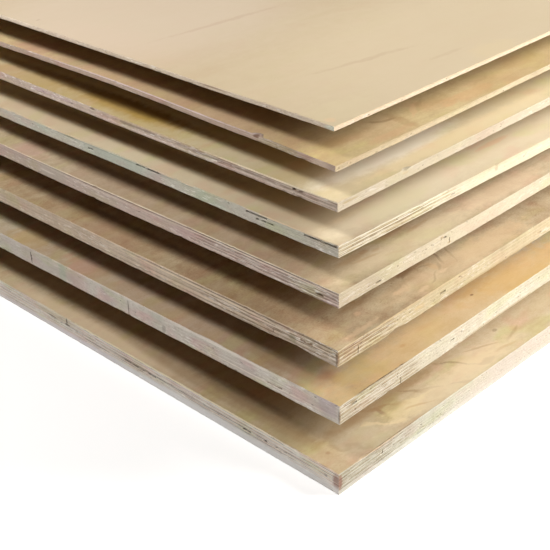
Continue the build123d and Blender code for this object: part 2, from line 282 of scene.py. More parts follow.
sheets["sheet_9mm"] = {
    "plies": 5, "skew": -0.19, "seed": 9, "slot": "plywood_9mm",
    "coreGaps": [("end", 0.028, 0.024, 4, 0.2)],
    "chips": [("side", "top", 0.085, 0.089, 0.097, 0.0018, 0.004)],
    "faceTones": [(225, 211, 176), (210, 188, 134), (222, 199, 130)],
    "sideTones": [(208, 193, 166), (200, 182, 157)],
    "endTones": [(212, 191, 173), (166, 147, 131)],
    "figure": 0.06, "figureScale": 1.4, "streaks": 0.4, "patches": 0.25, "flecks": 0.1, "drift": 0.65,
    "faceSpots": [
        (24, 300, 20, 105, (188, 150, 62), 0.75, 0.5), (22, 270, 14, 34, (178, 146, 58), 0.45, 0.8),
        (10, 300, 34, 150, (196, 164, 96), 0.35, 0.6), (14, 430, 30, 50, (204, 170, 100), 0.35, 0.8),
        # The second spot below is painted shade under the sheet above, along the end edge.
        (10, 490, 20, 22, (214, 162, 136), 0.4, 0.8), (29, 350, 14, 220, (112, 78, 40), 0.55, 0.3),
        # The second spot below is painted light on the face where the sheet above casts its shade.
        (200, 10, 200, 16, (250, 230, 186), 0.5, 0.5), (105, 36, 125, 22, (255, 250, 234), 0.6, 0.4),
        (6, 440, 30, 100, (190, 158, 100), 0.4, 0.4),
    ],
    "sideLines": (0.4, 0.05), "endLines": (0.8, 0.2),
    "sideSpots": [(90, 6, 6, 2.2, (190, 162, 122), 0.4, 0.8), (15, 6, 14, 1.4, (176, 152, 112), 0.6, 0.9)],
    "endSpots": [
        (-130, 5.8, 120, 2, (104, 80, 70), 0.35, 1.5), (-260, 6.2, 60, 1.8, (104, 80, 70), 0.45, 1.5),
        (-400, 5.6, 60, 2, (200, 172, 178), 0.5, 1.5), (-328, 7.8, 5, 1.4, (96, 72, 60), 0.7, 0.8),
        (-180, 8.4, 190, 1.2, (206, 180, 130), 0.5, 0.9), (-250, 2, 260, 0.9, (232, 212, 210), 0.4, 0.9),
        (-70, 8.7, 110, 1.4, (250, 234, 204), 0.8, 0.5),
    ],
    "cornerGrime": 0.55,
}
sheets["sheet_5_5mm"] = {
    "plies": 3, "skew": -0.59, "seed": 5, "slot": "plywood_5_5mm",
    "chips": [("end", "top", 0.084, 0.093, 0.099, 0.0016, 0.006)],
    "faceTones": [(239, 219, 166), (209, 180, 132), (239, 208, 172)],
    "sideTones": [(211, 192, 156), (200, 179, 142)],
    "endTones": [(194, 170, 152), (177, 154, 137)],
    "figure": 0.15, "figureScale": 1.2, "streaks": 0.8, "patches": 0.4, "flecks": 0.1, "drift": 0.7,
    "flame": (0.33, 14.0, 30.0, 0.29, 0.03, 0.07, 0.024, 0.3),
    "faceSpots": [
        (200, 14, 50, 12, (236, 182, 132), 0.35, 1), (110, 20, 8, 24, (176, 136, 92), 0.3, 0.9),
        (45, 33, 40, 12, (176, 140, 94), 0.4, 0.8), (80, 8, 40, 7, (228, 182, 140), 0.3, 0.9),
        (150, 30, 50, 10, (190, 156, 100), 0.3, 0.9), (300, 30, 40, 14, (206, 170, 104), 0.35, 0.8),
        (8, 260, 28, 280, (196, 152, 136), 0.35, 0.7), (15, 430, 30, 40, (216, 160, 144), 0.35, 0.8),
        (15, 355, 20, 14, (186, 178, 120), 0.3, 0.8), (135, 27, 22, 3, (232, 194, 148), 0.38, 1.1, 30),
        (152, 35, 18, 2.7, (150, 110, 68), 0.2, 1.1, 35), (95, 34, 18, 3, (152, 112, 68), 0.38, 1.1, -20),
        (235, 26, 22, 2.7, (168, 128, 82), 0.18, 1.1, 20), (10, 10, 18, 16, (150, 130, 92), 0.3, 0.5),
        (310, 18, 160, 60, (196, 164, 112), 0.35, 0.4),
    ],
    "sideLines": (0.3, 0.05), "endLines": (0.5, 0.1),
    # Its side spot is painted shade along the top arris.
    "sideSpots": [(130, 5.2, 170, 1.4, (176, 150, 110), 0.5, 0.4)],
    "endSpots": [
        (-250, 5, 220, 0.7, (240, 220, 216), 0.7, 0.9), (-93, 4, 5, 1.6, (120, 86, 66), 0.8, 0.6),
        (-18, 2.8, 12, 6, (232, 208, 184), 0.4, 0.4),
    ],
    "cornerGrime": 0.9,
    "lifts": [
        ("end", 0.0, 0.12, -0.001), ("end", 0.285, 0.17, 0.002), ("end", 0.5, 0.09, -0.0014),
        ("side", 0.08, 0.2, -0.0017), ("side", 0.37, 0.13, 0.0012),
    ],
}
sheets["sheet_4mm"] = {
    "plies": 3, "skew": 0.1, "seed": 4, "slot": "plywood_4mm",
    "chips": [
        ("end", "top", 0.0415, 0.0426, 0.044, 0.0014, 0.0025),
        ("end", "top", 0.077, 0.079, 0.0805, 0.0012, 0.003),
    ],
    "faceTones": [(182, 164, 135), (167, 146, 113), (177, 157, 128)],
    "sideTones": [(224, 203, 173), (224, 200, 168)],
    "endTones": [(220, 202, 180), (218, 199, 174)],
    "figure": 0.05, "figureScale": 1.0, "streaks": 0.25, "patches": 0.2, "flecks": 0.0, "drift": 0.15,
    "faceSpots": [
        (14.9, 417, 3, 1.4, (110, 84, 62), 0.95, 0.2), (9, 12, 6, 6, (216, 158, 116), 0.3, 0.8),
        (30, 20, 50, 30, (190, 184, 134), 0.15, 0.8), (240, 12, 40, 20, (206, 180, 120), 0.25, 0.8),
        (10, 300, 60, 120, (190, 158, 134), 0.25, 0.8), (60, 420, 240, 280, (172, 152, 126), 0.3, 0.2),
        (100, 360, 200, 200, (194, 177, 158), 0.5, 0.12), (320, 30, 420, 220, (202, 184, 154), 0.55, 0.12),
        (130, 266, 100, 4.6, (146, 112, 92), 0.17, 1, -5), (134, 85, 76, 4.3, (146, 114, 92), 0.17, 1, -10),
        (202, 37, 32, 3.8, (150, 120, 94), 0.13, 1, -3),
    ],
    "sideLines": (0.3, 0.05), "endLines": (0.5, 0.1),
    # Its side spot is painted shade along the top arris.
    "sideSpots": [(170, 4, 420, 1.4, (206, 180, 142), 0.6, 0.5)],
    "endSpots": [
        (-140, 3, 24, 1, (150, 120, 90), 0.6, 0.9), (-3, 2, 10, 3, (214, 220, 200), 0.6, 0.5),
        (-440, 2, 50, 6, (252, 234, 212), 0.35, 0.3),
    ],
    "cornerGrime": 0.25,
    "lifts": [("end", 0.15, 0.1, -0.0005), ("side", 0.2, 0.5, -0.0006)],
}

# What all sheets share
boards = {
    "length": 2.44,
    "width": 1.22,
    "endGrainTear": 0.0004,  # how far end grain tears back behind long grain
    "longGrainTear": 0.3,  # these three are shares: long grain tears less than end grain,
    "cornerTear": 0.6,  # and a corner loses so much of the tear and the wear
    "cornerWear": 0.7,
    "gapDepth": 0.012,
    "splitWidth": 0.0009,
    "splitDepth": 0.003,
    "arrisWear": 0.0005,
    "fullShadeDepth": 0.006,  # a gap this deep is as dark as it gets
    "splitShade": 0.8,  # how dark splits and chips are, out of 1
    "chipShade": 0.2,
    # How far apart the values of each unevenness stand along an edge
    "tearPitch": 0.0021,
    "pitPitch": 0.0045,
    "longGrainPitch": 0.03,
    "wearPitch": 0.009,
    "fibrePitch": 0.0045,
    "chipPitch": 0.0015,
    "rowsInPly": (0.06, 0.34, 0.66, 0.94),  # heights of the mesh's rows, as shares of a ply
    "finePitch": 0.0014,  # columns near the near corner
    "coarsePitch": 0.012,
    "pitchGrowth": 1.1,
    "growthSteps": 60,  # more than the coarse pitch takes
    "fineAlongSide": 0.42,
    "fineAlongEnd": 0.62,
    "wall": 0.0002,  # two columns this far apart make the wall of a gap or split
    "rings": (0.014, 0.04, 0.08, 0.119),  # inner outlines of the two faces
    "closing": 0.004,  # how far from a corner the next edge's tear is felt
    "undersideShift": 5.0,  # moves the underside's pattern away from the top's
    "faceShift": (3.1, 1.7, 0.9),  # these two, times the seed, give each sheet its own patterns
    "edgeShift": (2.3, 0.7, 1.3),
    "knotStretch": 0.55,  # a knot's width across the grain, as a share of that along it
    "noKnot": (-9.0, -9.0, 0.02),  # these two stand far off the sheet
    "noFlame": (0.0, 10.0, 10.0, -9.0, -9.0, 0.1, 0.1, 0.0),
}


def addObject(name, data):
    added = bpy.data.objects.new(name, data)
    bpy.context.scene.collection.objects.link(added)
    return added


def linear(tone):
    # sRGB out of 255 to linear: a straight foot, then a power of 2.4
    shares = np.array(tone) / 255
    curve = np.where(shares <= 0.04045, shares / 12.92, ((shares + 0.055) / 1.055) ** 2.4)
    return (*curve.tolist(), 1.0)


def lineNoise(random, along, size):
    # Random values from 0 to 1 stand at every size along the line, joined by straight runs.
    marks = np.arange(along.min() - size, along.max() + 2 * size, size)
    return np.interp(along, marks, random.random(len(marks)))


def onEdge(sheet, key, edge):
    # The entries of one list that stand on one edge, without the edge's name
    return [entry[1:] for entry in sheet.get(key, []) if entry[0] == edge]


def edgeColumns(sheet, edge, length, fineLength):
    # Columns stand an even fine pitch apart for fineLength, then each pitch is a growth times
    # the last one up to the coarse pitch. Every wall of a gap or split gets two of its own.
    count = np.arange(int(length / boards["finePitch"]))
    late = np.clip(count - fineLength / boards["finePitch"], 0, boards["growthSteps"])
    pitch = np.minimum(boards["coarsePitch"], boards["finePitch"] * boards["pitchGrowth"] ** late)
    along = np.cumsum(pitch)
    half = boards["splitWidth"] / 2
    walls = [(start, start + long) for start, long, ply, shade in onEdge(sheet, "coreGaps", edge)]
    walls += [(place - half, place + half) for place, low, high in onEdge(sheet, "splits", edge)]
    walls = np.array(walls).ravel()
    inside = along[along < length - boards["finePitch"]]
    pairs = [walls - boards["wall"] / 2, walls + boards["wall"] / 2]
    return np.unique(np.concatenate([[0.0], inside, *pairs, [length]]))


def edgeInset(sheet, edge, along, heights, rowPly, thickness, random):
    # How far the edge lies behind the sheet's outline, for each row and column: the tear of
    # its ply, plus wear at the arrises, with the deepest of its gaps, splits and chips.
    # Its second result is how much painted shade darkens the gaps, splits and chips.
    endGrain = (rowPly % 2 == 0) == (edge in ("end", "farEnd"))
    inset = np.zeros((len(heights), len(along)))
    dark = np.zeros_like(inset)
    for ply in range(sheet["plies"]):
        rows = rowPly == ply
        if endGrain[rows][0]:
            torn = 0.3 + 0.7 * lineNoise(random, along, boards["tearPitch"])
            pits = np.clip(lineNoise(random, along, boards["pitPitch"]) - 0.86, 0, 1) * 14
            line = boards["endGrainTear"] * (torn + pits)
        else:
            line = boards["endGrainTear"] * boards["longGrainTear"]
            line = line * lineNoise(random, along, boards["longGrainPitch"])
        inset[rows] = line * (0.8 + 0.2 * random.random((rows.sum(), len(along))))

    toArris = np.minimum(heights, thickness - heights)[:, None]
    worn = boards["arrisWear"] * (0.4 + 0.9 * lineNoise(random, along, boards["wearPitch"]))
    inset += worn * np.clip(1 - toArris / worn, 0, 1) ** 2

    for start, long, ply, shade in onEdge(sheet, "coreGaps", edge):
        # Broken fibres still stand in a gap, so it is deep in some places only.
        isOpen = (along > start) & (along < start + long)
        left = np.clip(lineNoise(random, along, boards["fibrePitch"]) * 2.2 + shade - 1.1, 0.06, 1)
        cut = np.where(isOpen, boards["gapDepth"] * shade * left, 0.0)
        rows = rowPly == ply - 1
        inset[rows] = np.maximum(inset[rows], cut)
        dark[rows] = np.maximum(dark[rows], shade * np.clip(cut / boards["fullShadeDepth"], 0, 1))
    for place, low, high in onEdge(sheet, "splits", edge):
        isOpen = np.abs(along - place) < boards["splitWidth"] / 2
        tall = (heights >= low) & (heights <= high)
        inset = np.maximum(inset, np.outer(tall, isOpen) * boards["splitDepth"])
        dark = np.maximum(dark, np.outer(tall, isOpen) * boards["splitShade"])
    for arris, start, peak, end, height, depth in onEdge(sheet, "chips", edge):
        # The chip's height rises to its peak and falls again; its depth is an arc.
        rise = np.interp(along, [start, peak, end], [0, 1, 0])
        middle, half = (start + end) / 2, (end - start) / 2
        arc = np.sqrt(np.clip(1 - ((along - middle) / half) ** 2, 0, 1))
        fromArris = heights if arris == "bottom" else thickness - heights
        tall = np.maximum(rise * height, 1e-6)
        slope = np.clip(1 - fromArris[:, None] / tall[None, :], 0, 1)
        ragged = 0.75 + 0.25 * lineNoise(random, along, boards["chipPitch"])
        inset = np.maximum(inset, depth * arc * ragged * slope)
        dark = np.maximum(dark, boards["chipShade"] * arc * slope)
    return inset, dark


def marginLift(sheet, x, y):
    # A margin bows up or sags: a cosine hump along the edge, times the square of how near the
    # edge is, and nothing over the stickers.
    reach = boards["rings"][-1]
    lift = np.zeros_like(x)
    for edge, middle, half, height in sheet.get("lifts", []):
        along, inward = (x, y) if edge == "side" else (y, x)
        hump = 0.5 + 0.5 * np.cos(np.pi * np.clip((along - middle) / half, -1, 1))
        lift += height * hump * np.clip(1 - inward / reach, 0, 1) ** 2
    return lift


def nearEnds(place, size):
    # 1 at the start of a length, -1 at its end, and nothing past the closing distance
    atStart, atEnd = (np.clip(1 - away / boards["closing"], 0, 1) for away in (place, size - place))
    return atStart - atEnd


def buildSheet(name, sheet):
    # One profile is carried round the sheet's outline: from the underside's middle out to the
    # edge, up the plies and back in over the top. Its rows are lists of points, one a column.
    random = np.random.default_rng(sheet["seed"])
    low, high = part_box(name)
    thickness = high.z - low.z
    length, width = boards["length"], boards["width"]
    veneer = thickness / sheet["plies"]
    plyIndex = np.arange(sheet["plies"])
    inPly = np.array(boards["rowsInPly"])
    heights = np.concatenate([[0.0], ((plyIndex[:, None] + inPly) * veneer).ravel(), [thickness]])
    rowPly = np.concatenate([[0], np.repeat(plyIndex, len(inPly)), [sheet["plies"] - 1]])

    # The outline goes round counterclockwise from the near corner.
    sideAlong = edgeColumns(sheet, "side", length, boards["fineAlongSide"])[:-1]
    farEndAlong = edgeColumns(sheet, "farEnd", width, 0.0)[:-1]
    farSideAlong = edgeColumns(sheet, "farSide", length, 0.0)[:0:-1]
    endAlong = edgeColumns(sheet, "end", width, boards["fineAlongEnd"])[:0:-1]
    edges = [("side", sideAlong), ("farEnd", farEndAlong), ("farSide", farSideAlong), ("end", endAlong)]
    outlineX = np.concatenate([
        sideAlong, np.full(len(farEndAlong), length), farSideAlong, np.zeros(len(endAlong)),
    ])
    outlineY = np.concatenate([
        np.zeros(len(sideAlong)), farEndAlong, np.full(len(farSideAlong), width), endAlong,
    ])
    # The map counts the way round along X from the near corner, and back along the end edge
    # with a minus sign, so its size is how far a place is from the near corner. It jumps
    # where the far side meets the end edge.
    farSideEnd = 2 * length + width
    around = np.concatenate([sideAlong, length + farEndAlong, farSideEnd - farSideAlong, -endAlong])
    roundNext = np.append(around[1:], 0.0)
    roundNext[-len(endAlong) - 1] = farSideEnd
    cuts = [edgeInset(sheet, edge, along, heights, rowPly, thickness, random) for edge, along in edges]
    inset = np.hstack([cut[0] for cut in cuts])
    dark = np.hstack([cut[1] for cut in cuts])
    edgeOf = np.repeat(np.arange(4), [len(along) for edge, along in edges])
    onEnd = edgeOf % 2 == 1

    # Near a corner a column also moves in with the edge round the corner, so they close there.
    # A corner column stands on the edge that starts with it and moves in for both.
    arrisRows = (heights == 0) | (heights == thickness)
    recess = {
        isEnd: boards["endGrainTear"] * boards["cornerTear"] * ((rowPly % 2 == 0) == isEnd)
        + boards["arrisWear"] * boards["cornerWear"] * arrisRows
        for isEnd in (True, False)
    }
    towardX = nearEnds(outlineX, length)
    towardY = nearEnds(outlineY, width)
    ownX = np.where(edgeOf == 3, 1.0, -1.0)
    ownY = np.where(edgeOf == 0, 1.0, -1.0)
    edgeX = outlineX + np.where(onEnd, inset * ownX, recess[True][:, None] * towardX)
    edgeY = outlineY + np.where(onEnd, recess[False][:, None] * towardY, inset * ownY)

    rings = np.array(boards["rings"])[:, None]
    ringX = rings + outlineX * (length - 2 * rings) / length
    ringY = rings + outlineY * (width - 2 * rings) / width
    x = np.vstack([ringX[::-1], edgeX, ringX])
    y = np.vstack([ringY[::-1], edgeY, ringY])
    ringRows = len(rings)
    rowHeights = np.concatenate([np.zeros(ringRows), heights, np.full(ringRows, thickness)])
    z = rowHeights[:, None] + marginLift(sheet, x, y)

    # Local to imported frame: a turn by the skew about the near corner, whose place is read
    # from the node's box.
    turn = radians(sheet["skew"])
    cornerX = low.x + width * sin(max(turn, 0))
    cornerY = low.y + length * sin(max(-turn, 0))
    middle = np.array([[length / 2, width / 2, 0.0], [length / 2, width / 2, thickness]])
    local = np.vstack([np.stack([x.ravel(), y.ravel(), z.ravel()], 1), middle])
    points = np.stack([
        cornerX + local[:, 0] * cos(turn) - local[:, 1] * sin(turn),
        cornerY + local[:, 0] * sin(turn) + local[:, 1] * cos(turn),
        low.z + local[:, 2],
    ], 1)

    rows, columns = x.shape
    column = np.arange(columns)
    following = (column + 1) % columns
    start = np.arange(rows - 1)[:, None] * columns
    quads = np.stack([
        start + column, start + following, start + columns + following, start + columns + column,
    ], 2).reshape(-1, 4)
    last = (rows - 1) * columns
    bottomFan = np.stack([following, column, np.full(columns, rows * columns)], 1)
    topFan = np.stack([last + column, last + following, np.full(columns, rows * columns + 1)], 1)
    mesh = bpy.data.meshes.new(name + "_looks")
    mesh.from_pydata(points.tolist(), [], quads.tolist() + bottomFan.tolist() + topFan.tolist())

    # Faces carry the sheet's own X and Y as their map, and edges the way round and the height.
    band = np.repeat(np.arange(rows - 1), columns)
    isEdge = (band >= ringRows) & (band < rows - 1 - ringRows)
    isUnder = band < ringRows
    underShift = np.array([boards["undersideShift"], 0.0])
    corners = np.stack([around, roundNext, roundNext, around], 1)
    edgeMap = np.stack([np.tile(corners, (rows - 1, 1)), np.repeat(rowHeights, columns)[quads]], 2)
    faceMap = local[quads, :2] + isUnder[:, None, None] * underShift
    quadMap = np.where(isEdge[:, None, None], edgeMap, faceMap)
    fanMap = np.concatenate([local[bottomFan, :2] + underShift, local[topFan, :2]])
    sheetMap = np.concatenate([quadMap.ravel(), fanMap.ravel()]).astype(np.float32)
    mesh.uv_layers.new(name="sheetMap").uv.foreach_set("vector", sheetMap)
    slots = np.where(isEdge, 1 + onEnd[np.tile(column, rows - 1)], 0)
    slots = np.concatenate([slots, np.zeros(2 * columns, int)]).astype(np.int32)
    mesh.polygons.foreach_set("material_index", slots)

    # How much end grain shows, and how much painted shade darkens the gaps, splits and chips, for the
    # materials
    grain = np.zeros((rows, columns))
    grain[ringRows:rows - ringRows] = (rowPly % 2 == 0)[:, None] == onEnd[None, :]
    recessShade = np.zeros((rows, columns))
    recessShade[ringRows:rows - ringRows] = dark
    for label, values in (("endGrain", grain), ("recessShade", recessShade)):
        layer = mesh.attributes.new(label, "FLOAT", "POINT")
        layer.data.foreach_set("value", np.append(values.ravel(), [0.0, 0.0]).astype(np.float32))
    mesh.validate()
    return addObject(name + "_looks", mesh)


class Signal:
    # A socket of a shader tree. Every sum, product or other step on it adds a node.
    def __init__(self, socket):
        self.socket = socket
        self.tree = socket.id_data

    def calc(self, operation, other=None, clamp=False):
        node = addNode(self.tree, "Math", {0: self, 1: other}, operation=operation, use_clamp=clamp)
        return Signal(node.outputs["Value"])

    def __add__(self, other):
        return self.calc("ADD", other)

    def __sub__(self, other):
        return self.calc("SUBTRACT", other)

    def __rsub__(self, other):
        return self * -1.0 + other

    def __mul__(self, other):
        return self.calc("MULTIPLY", other)

    def __truediv__(self, other):
        return self.calc("DIVIDE", other)

    def vector(self, operation, other=None, output="Vector"):
        node = addNode(self.tree, "VectorMath", {0: self, 1: other}, operation=operation)
        return Signal(node.outputs[output])

    def split(self):
        outputs = addNode(self.tree, "SeparateXYZ", {0: self}).outputs
        return Signal(outputs["X"]), Signal(outputs["Y"])

    def spread(self, fromLow, fromHigh, toLow=0.0, toHigh=1.0, smooth=False):
        # Maps one range to another and holds the result between its ends.
        ends = {"From Min": fromLow, "From Max": fromHigh, "To Min": toLow, "To Max": toHigh}
        kind = "SMOOTHSTEP" if smooth else "LINEAR"
        node = addNode(self.tree, "MapRange", {"Value": self, **ends}, interpolation_type=kind)
        return Signal(node.outputs["Result"])

    def noise(self, perX, perY, perZ=1.0, detail=2.0, roughness=0.5):
        # The first three are how many features stand in a metre along X, Y and Z.
        scaled = addNode(self.tree, "Mapping", {"Vector": self, "Scale": (perX, perY, perZ)})
        inputs = {"Scale": 1.0, "Detail": detail, "Roughness": roughness}
        inputs["Vector"] = Signal(scaled.outputs["Vector"])
        return Signal(addNode(self.tree, "TexNoise", inputs).outputs["Fac"])


def fill(node, inputs):
    # Any input takes a signal or a plain value, and keeps its own for None.
    for label, value in inputs.items():
        if isinstance(value, Signal):
            value.tree.links.new(value.socket, node.inputs[label])
        elif value is not None:
            node.inputs[label].default_value = value


def addNode(tree, kind, inputs=None, **settings):
    node = tree.nodes.new("ShaderNode" + kind)
    for label, value in settings.items():
        setattr(node, label, value)
    fill(node, inputs or {})
    return node


def blendTones(tree, amount, first, second, how="MIX"):
    inputs = {"Factor": amount, 6: first, 7: second}
    return Signal(addNode(tree, "Mix", inputs, data_type="RGBA", blend_type=how).outputs[2])


def newGroup(name, inputs, outputs):
    # inputs and outputs hold the names of the sockets by their kind.
    tree = bpy.data.node_groups.new(name, "ShaderNodeTree")
    for direction, kinds in (("INPUT", inputs), ("OUTPUT", outputs)):
        for kind, labels in kinds.items():
            for label in labels:
                tree.interface.new_socket(label, in_out=direction, socket_type="NodeSocket" + kind)
    given = {socket.name: Signal(socket) for socket in tree.nodes.new("NodeGroupInput").outputs}
    return tree, given, tree.nodes.new("NodeGroupOutput")


# What all sheets share: sRGB tones, and linear ones that mostly tint by multiplying
sharedTones = {
    "glue": (112, 80, 52), "brownDash": (96, 68, 44), "stain": (150, 124, 98), "speck": (96, 72, 50),
    "grit": (124, 100, 78), "recessShade": (60, 42, 28), "underside": (120, 76, 42),
}
sharedTints = {
    "rosy": (1.0, 0.84, 0.86, 1.0), "olive": (0.92, 1.0, 0.76, 1.0), "grime": (0.68, 0.65, 0.62, 1.0),
    "paleDash": (1.0, 0.94, 0.84, 1.0), "crumb": (1.0, 0.95, 0.88, 1.0), "white": (1.0, 1.0, 1.0, 1.0),
}


def drift(tree, place, tone, amount, across):
    # Wood is never one hue: rosy and olive clouds a few centimetres wide tint it.
    rosy = place.noise(26.0, across, detail=1.0).spread(0.5, 0.72, smooth=True)
    tone = blendTones(tree, rosy * amount, tone, sharedTints["rosy"], "MULTIPLY")
    olive = place.noise(21.0, across * 0.8, 7.0, detail=1.0).spread(0.28, 0.5, 1.0, 0.0, smooth=True)
    return blendTones(tree, olive * amount, tone, sharedTints["olive"], "MULTIPLY")


def addCornerShade(tree, given, tone):
    # Painted shade greys the sheets toward the near corner.
    reach = 0.32
    nearness = given["Map"].vector("LENGTH", output="Value").spread(0.0, reach, 1.0, 0.0)
    grime = nearness.calc("POWER", 2.0).calc("MULTIPLY", given["Grime"], clamp=True)
    return blendTones(tree, grime, tone, sharedTints["grime"], "MULTIPLY")


def makeSpotGroup():
    # A mask for one oval place with a soft and ragged outline
    tree, given, result = newGroup(
        "softSpot",
        {"Vector": ("Map", "Middle", "Half Size"), "Float": ("Ragged", "Turn", "Sway")},
        {"Float": ("Mask",)},
    )
    # A slanting spot sways, so it is a curved stroke.
    sway = (given["Map"].noise(34.0, 34.0, detail=1.0) - 0.5) * given["Sway"]
    away = given["Map"].vector("SUBTRACT", given["Middle"])
    curved = away.vector("ADD", sway.vector("MULTIPLY", (0.3, 1.0, 0.0)))
    inputs = {"Vector": curved, "Angle": given["Turn"] * -1.0}
    turned = Signal(addNode(tree, "VectorRotate", inputs, rotation_type="Z_AXIS").outputs["Vector"])
    size = turned.vector("DIVIDE", given["Half Size"]).vector("LENGTH", output="Value")
    wave = given["Map"].noise(70.0, 110.0, detail=1.0)
    crumb = given["Map"].noise(260.0, 420.0, detail=1.0)
    radius = size + (wave + crumb * 0.45 - 0.65) * given["Ragged"]
    fill(result, {"Mask": radius.spread(0.45, 1.1, 1.0, 0.0, smooth=True)})
    return tree


# What makes up the streaks of a face: what noise() takes, what spread() takes, and how strong
streakLayers = {
    "fine": ((5.0, 620.0, 1.0, 3.0, 0.6), (0.3, 0.7), 0.12),
    "broad": ((3.2, 60.0), (0.36, 0.72), 0.2),
    "lone": ((4.5, 130.0), (0.6, 0.72), 0.2),
    "cloud": ((30.0, 48.0, 1.0, 3.0, 0.55), (0.34, 0.68), 0.55),
    "mottle": ((90.0, 130.0, 1.0, 3.0, 0.6), (0.34, 0.66), 0.25),
    "grain": ((420.0, 680.0, 1.0, 2.0, 0.6), (0.35, 0.65, -0.5, 0.5), 0.3),
}


def makeVeneerGroup():
    # The face of a sheet. Rotary-cut veneer shows long streaks, small pores, and a figure like
    # the contour lines of gentle hills, because the knife cuts the growth rings at a slant.
    tree, given, result = newGroup(
        "faceVeneer",
        {
            "Vector": ("Map", "Shift", "Knot"),
            "Color": ("Pale", "Dark", "Patch"),
            "Float": (
                "Streaks", "Figure", "Figure Scale", "Patches", "Flecks", "Drift", "Knot Size", "Apex",
                "Flame", "Rings Along", "Rings Across", "Grime",
            ),
        },
        {"Color": ("Color",), "Float": ("Height",)},
    )
    place = given["Map"].vector("ADD", given["Shift"])
    mapX, mapY = given["Map"].split()

    # The knot is a round hill in the ring field, so the figure runs round it.
    stretched = given["Map"].vector("MULTIPLY", (boards["knotStretch"], 1.0, 1.0))
    near = stretched.vector("DISTANCE", given["Knot"], "Value") / given["Knot Size"]
    hill = (near * near * -1.0).calc("EXPONENT")

    field = place.noise(1.1, 5.5, roughness=0.45)
    wobble = place.noise(24.0, 60.0)
    ringsInField = given["Figure Scale"] * 34.0
    ring = (field * ringsInField + wobble * 0.9 + hill * 4.0).calc("FRACT")
    soft = ring.calc("POWER", 3.0) - ring.spread(0.93, 1.0)
    figureShow = place.noise(2.5, 12.0, detail=1.0).spread(0.35, 0.62, smooth=True)
    figure = soft * figureShow * given["Figure"]

    # Flames are rings that run to a point on both sides of the apex.
    fromApex = (mapX - given["Apex"]).calc("ABSOLUTE")
    flame = fromApex * given["Rings Along"] - mapY * given["Rings Across"]
    tongue = (flame + place.noise(14.0, 34.0, detail=1.5) * 1.6 + hill * 2.5).calc("FRACT")
    line = tongue.calc("POWER", 4.0) * tongue.spread(0.8, 1.0, 1.0, 0.0)
    line = line * place.noise(60.0, 90.0, detail=1.0).spread(0.35, 0.65)
    figure = figure + line * given["Flame"]

    layers = {}
    parts = []
    for label, (noise, shown, weight) in streakLayers.items():
        layers[label] = place.noise(*noise).spread(*shown)
        parts.append(layers[label] * weight)
    streak = sum(parts[1:], parts[0]) * given["Streaks"]
    pores = place.noise(260.0, 900.0, detail=1.0).spread(0.62, 0.72)
    poreShow = place.noise(24.0, 60.0, detail=1.0).spread(0.5, 0.66)
    fleck = pores * poreShow * given["Flecks"]

    patch = place.noise(9.0, 22.0).spread(0.46, 0.66, smooth=True) * given["Patches"]
    tone = blendTones(tree, patch, given["Pale"], given["Patch"])
    tone = drift(tree, place, tone, given["Drift"], 46.0)
    darkness = (figure + streak).calc("ADD", fleck, clamp=True)
    tone = blendTones(tree, darkness, tone, given["Dark"])
    tone = addCornerShade(tree, given, tone)
    # The underside is a plainer veneer painted dark as shade, which also keeps the gaps between the sheets
    # dark; its map lies undersideShift away.
    under = mapX.calc("GREATER_THAN", boards["undersideShift"] - 1.0)
    shadedBack = blendTones(tree, 0.65, given["Dark"], linear(sharedTones["underside"]))
    tone = blendTones(tree, under * 0.85, tone, shadedBack)
    fill(result, {"Color": tone, "Height": 1.0 - (layers["fine"] + fleck)})
    return tree


